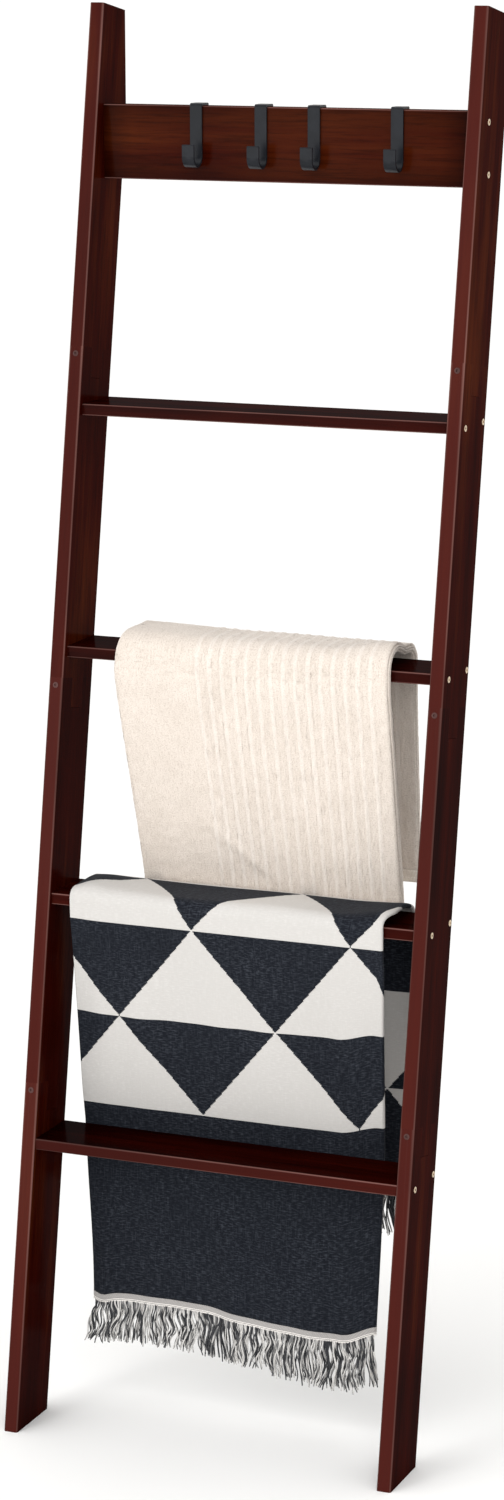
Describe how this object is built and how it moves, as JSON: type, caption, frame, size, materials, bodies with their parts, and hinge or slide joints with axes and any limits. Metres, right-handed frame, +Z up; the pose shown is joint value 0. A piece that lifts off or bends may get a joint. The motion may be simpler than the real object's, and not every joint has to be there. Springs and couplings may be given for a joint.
{
  "type": "blanket ladder with folded throw and towel",
  "caption": "Wall-leaning dark wood blanket ladder with strap hooks, a folded triangle-pattern fringed throw and a folded ribbed towel over its rungs.",
  "frame": {"origin": "on the floor, midway across the rack and midway between the feet's front edge and the wall", "axes": "+Z up, +X to the right seen from the front, +Y towards the wall"},
  "size_m": [0.501, 0.356, 1.6914],
  "materials": {
    "wood": "dark mahogany stain under satin lacquer",
    "bolt_metal": "antique bronze joint bolt",
    "screw_metal": "bright brass-plated screw",
    "hook_metal": "slate black powder coat",
    "throw_cloth": "woven cotton, navy and cream triangles",
    "fringe_yarn": "twisted navy and cream cotton yarn",
    "towel_terry": "beige cotton terry with raised ribs"
  },
  "bodies": {
    "rack": {"left_rail_1": "wood", "left_rail_2": "wood", "left_rail_3": "wood", "left_rail_4": "wood", "right_rail_1": "wood", "right_rail_2": "wood", "right_rail_3": "wood", "right_rail_4": "wood", "left_joint_bolts": "bolt_metal", "right_joint_bolts": "bolt_metal", "rung_1": "wood", "rung_2": "wood", "rung_3": "wood", "rung_4": "wood", "top_board": "wood", "left_rung_screws": "screw_metal", "right_rung_screws": "screw_metal", "left_board_screws": "screw_metal", "right_board_screws": "screw_metal"},
    "hook_1_body": {"hook_1": "hook_metal"},
    "hook_2_body": {"hook_2": "hook_metal"},
    "hook_3_body": {"hook_3": "hook_metal"},
    "hook_4_body": {"hook_4": "hook_metal"},
    "throw_body": {"throw": "throw_cloth", "throw_front_fringe": "fringe_yarn", "throw_back_fringe": "fringe_yarn"},
    "towel_body": {"towel": "towel_terry"}
  },
  "joints": [
    {"name": "hook_1_slide", "type": "slide", "parent": "rack", "child": "hook_1_body", "axis": [1, 0, 0], "range_m": [-0.1, 0.025]},
    {"name": "hook_2_slide", "type": "slide", "parent": "rack", "child": "hook_2_body", "axis": [1, 0, 0], "range_m": [-0.03, 0.02]},
    {"name": "hook_3_slide", "type": "slide", "parent": "rack", "child": "hook_3_body", "axis": [1, 0, 0], "range_m": [-0.02, 0.035]},
    {"name": "hook_4_slide", "type": "slide", "parent": "rack", "child": "hook_4_body", "axis": [1, 0, 0], "range_m": [-0.045, 0.072]},
    {"name": "throw_slide", "type": "slide", "parent": "rack", "child": "throw_body", "axis": [1, 0, 0], "range_m": [-0.014, 0.018]},
    {"name": "towel_slide", "type": "slide", "parent": "rack", "child": "towel_body", "axis": [1, 0, 0], "range_m": [-0.05, 0.03]}
  ]
}
